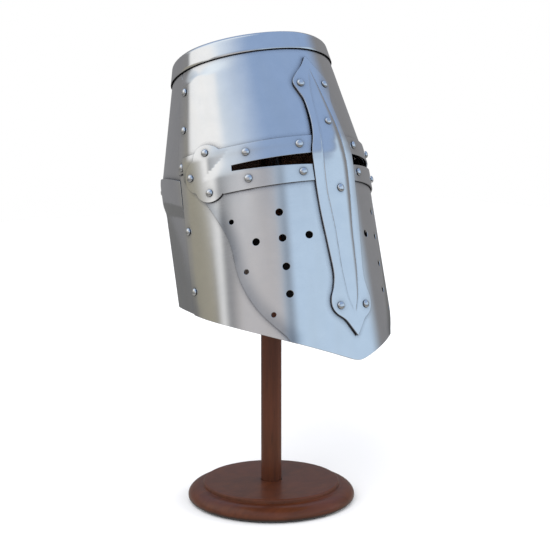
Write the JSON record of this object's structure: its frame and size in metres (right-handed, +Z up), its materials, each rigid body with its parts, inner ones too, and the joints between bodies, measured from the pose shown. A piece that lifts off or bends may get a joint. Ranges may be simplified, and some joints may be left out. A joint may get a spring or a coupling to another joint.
{
  "type": "knight helmet",
  "caption": "Flat-topped riveted steel great helm with a barred face, slit sights, breaths, liner and chin strap, leaning back on a turned wooden display stand.",
  "frame": {"origin": "centre of the stand's underside on the floor, with the post's axis on +Z", "axes": "+Z up along the post; the helm faces -Y and leans back toward +Y; the wearer's left side is +X"},
  "size_m": [0.2235, 0.2925, 0.497],
  "materials": {
    "satin_steel": "satin polished",
    "rivet_steel": "polished",
    "harness_leather": "oiled",
    "lace_cord": "waxed cord",
    "stand_wood": "lacquered reddish brown",
    "base_felt": "felt"
  },
  "bodies": {
    "stand": {"base_felt": "base_felt", "stand_base": "stand_wood", "post_screw": "rivet_steel", "stand_post": "stand_wood", "post_head": "stand_wood", "head_pad": "harness_leather"},
    "helm": {"crown_plate": "satin_steel", "face_plate": "satin_steel", "liner_band": "harness_leather", "liner_lace": "lace_cord", "liner_petals": "harness_leather", "lower_rear_plate": "satin_steel", "nasal_bar": "satin_steel", "ocularium_band_left": "satin_steel", "ocularium_band_right": "satin_steel", "rivet_band_left_1": "rivet_steel", "rivet_band_left_2": "rivet_steel", "rivet_band_left_3": "rivet_steel", "rivet_band_left_4": "rivet_steel", "rivet_band_left_5": "rivet_steel", "rivet_band_left_6": "rivet_steel", "rivet_band_left_7": "rivet_steel", "rivet_band_right_1": "rivet_steel", "rivet_band_right_2": "rivet_steel", "rivet_band_right_3": "rivet_steel", "rivet_band_right_4": "rivet_steel", "rivet_band_right_5": "rivet_steel", "rivet_band_right_6": "rivet_steel", "rivet_band_right_7": "rivet_steel", "rivet_bar_1": "rivet_steel", "rivet_bar_2": "rivet_steel", "rivet_bar_3": "rivet_steel", "rivet_bar_4": "rivet_steel", "rivet_bar_5": "rivet_steel", "rivet_bar_6": "rivet_steel", "rivet_rear_left_1": "rivet_steel", "rivet_rear_left_2": "rivet_steel", "rivet_rear_right_1": "rivet_steel", "rivet_rear_right_2": "rivet_steel", "rivet_seam_left_1": "rivet_steel", "rivet_seam_left_2": "rivet_steel", "rivet_seam_left_3": "rivet_steel", "rivet_seam_left_4": "rivet_steel", "rivet_seam_left_5": "rivet_steel", "rivet_seam_right_1": "rivet_steel", "rivet_seam_right_2": "rivet_steel", "rivet_seam_right_3": "rivet_steel", "rivet_seam_right_4": "rivet_steel", "rivet_seam_right_5": "rivet_steel", "side_plate_left": "satin_steel", "side_plate_right": "satin_steel", "strap_rivet_left": "rivet_steel", "strap_rivet_right": "rivet_steel", "upper_front_plate": "satin_steel", "upper_rear_plate": "satin_steel"},
    "chin_strap": {"chin_strap": "harness_leather", "buckle_strap": "harness_leather", "strap_keeper": "harness_leather", "buckle_frame": "rivet_steel"},
    "prong": {"buckle_prong": "rivet_steel"}
  },
  "joints": [
    {"name": "helmet_lift", "type": "slide", "parent": "stand", "child": "helm", "axis": [0, 0, 1], "range_m": [0, 0.33]},
    {"name": "chin_strap_swing", "type": "hinge", "parent": "helm", "child": "chin_strap", "pos_m": [-0.00439, -0.00822, 0.38093], "axis": [0.9989, -0.0135, -0.0442], "range_deg": [-15, 1]},
    {"name": "prong_hinge", "type": "hinge", "parent": "chin_strap", "child": "prong", "pos_m": [0.07223, -0.02028, 0.3415], "axis": [0, 0.9563, -0.2924], "range_deg": [0, 9]}
  ]
}
